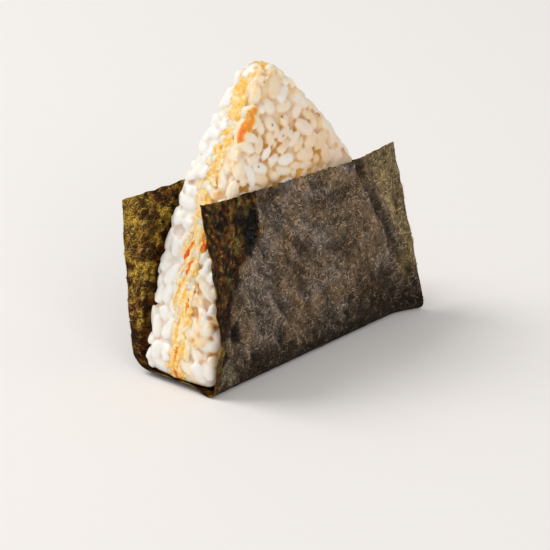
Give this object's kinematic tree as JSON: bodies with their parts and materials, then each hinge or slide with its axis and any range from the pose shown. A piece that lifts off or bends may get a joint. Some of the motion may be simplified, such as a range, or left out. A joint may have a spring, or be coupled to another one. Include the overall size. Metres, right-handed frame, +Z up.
{
  "type": "onigiri rice ball",
  "caption": "Triangular rice ball standing on its base, with a savoury filling layer between two halves and one wide strip of toasted nori folded under it.",
  "frame": {"origin": "on the underside of the nori, where the rice ball rests, below the middle of the base", "axes": "+Z up through the tip, +X along the base to the right as seen from the front, the front face looks along -Y"},
  "size_m": [0.0876, 0.0365, 0.0829],
  "materials": {
    "rice": "moist, milky, slightly translucent cooked grains",
    "filling": "moist yellow-orange crumbs and shreds in sauce",
    "nori": "dry toasted seaweed, dark grey-green with fine fibres and a low sheen"
  },
  "bodies": {
    "root": {"rice_front": "rice", "rice_back": "rice", "filling": "filling", "nori": "nori"}
  },
  "joints": []
}
